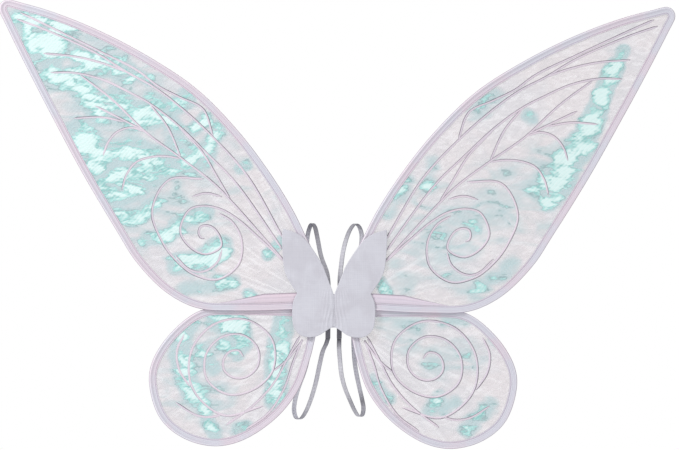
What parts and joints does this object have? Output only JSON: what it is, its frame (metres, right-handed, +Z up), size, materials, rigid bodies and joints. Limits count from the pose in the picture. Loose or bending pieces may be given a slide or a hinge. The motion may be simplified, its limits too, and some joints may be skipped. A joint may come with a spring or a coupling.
{
  "type": "fairy wings",
  "caption": "Pair of folding translucent butterfly wings on wire frames, with a fabric butterfly patch, back pad and two elastic arm loops, worn on the back.",
  "frame": {"origin": "middle of the back pad's rear face, level with the seam between the upper and lower wings", "axes": "+Z up as worn, +X to the viewer's right of the decorated front, +Y out of the pad towards the wearer's back"},
  "size_m": [0.9514, 0.1157, 0.6254],
  "materials": {
    "frame_wire": "drawn spring wire",
    "ferrule": "crimped sleeve",
    "wing_film": "iridescent translucent film, crinkled",
    "edge_binding": "folded organza tape, stitched",
    "organza_strip": "sheer pink organza",
    "patch_satin": "woven satin, pale lilac grey",
    "lining_satin": "woven satin, pale lilac grey",
    "pad_cover": "woven satin over foam",
    "stiffener_felt": "pressed felt",
    "core_board": "plain board",
    "strap_elastic": "ribbed flat elastic, pale grey lilac"
  },
  "bodies": {
    "centre": {"back_pad": "pad_cover", "core_board": "core_board", "neck_gather": "patch_satin", "left_strap_top_tab": "strap_elastic", "left_strap_bottom_tab": "strap_elastic", "right_strap_top_tab": "strap_elastic", "right_strap_bottom_tab": "strap_elastic"},
    "left_wing": {"left_upper_wire": "frame_wire", "left_upper_film": "wing_film", "left_upper_binding": "edge_binding", "left_upper_ferrule": "ferrule", "left_upper_gusset": "organza_strip", "left_lower_wire": "frame_wire", "left_lower_film": "wing_film", "left_lower_binding": "edge_binding", "left_lower_ferrule": "ferrule", "left_root_stiffener": "stiffener_felt", "left_root_lining": "lining_satin", "left_patch": "patch_satin"},
    "right_wing": {"right_upper_wire": "frame_wire", "right_upper_film": "wing_film", "right_upper_binding": "edge_binding", "right_upper_ferrule": "ferrule", "right_upper_gusset": "organza_strip", "right_lower_wire": "frame_wire", "right_lower_film": "wing_film", "right_lower_binding": "edge_binding", "right_lower_ferrule": "ferrule", "right_root_stiffener": "stiffener_felt", "right_root_lining": "lining_satin", "right_patch": "patch_satin"},
    "left_arm_strap": {"left_strap": "strap_elastic"},
    "right_arm_strap": {"right_strap": "strap_elastic"}
  },
  "joints": [
    {"name": "left_wing_fold", "type": "hinge", "parent": "centre", "child": "left_wing", "pos_m": [-0.005, -0.0224, 0], "axis": [0, 0, 1], "range_deg": [0, 85]},
    {"name": "right_wing_fold", "type": "hinge", "parent": "centre", "child": "right_wing", "pos_m": [0.005, -0.0224, 0], "axis": [0, 0, -1], "range_deg": [0, 85]},
    {"name": "left_strap_swing", "type": "hinge", "parent": "centre", "child": "left_arm_strap", "pos_m": [-0.008, -0.0068, 0], "axis": [0, 0, 1], "range_deg": [-20, 40]},
    {"name": "right_strap_swing", "type": "hinge", "parent": "centre", "child": "right_arm_strap", "pos_m": [0.008, -0.0068, 0], "axis": [0, 0, -1], "range_deg": [-20, 40]}
  ]
}
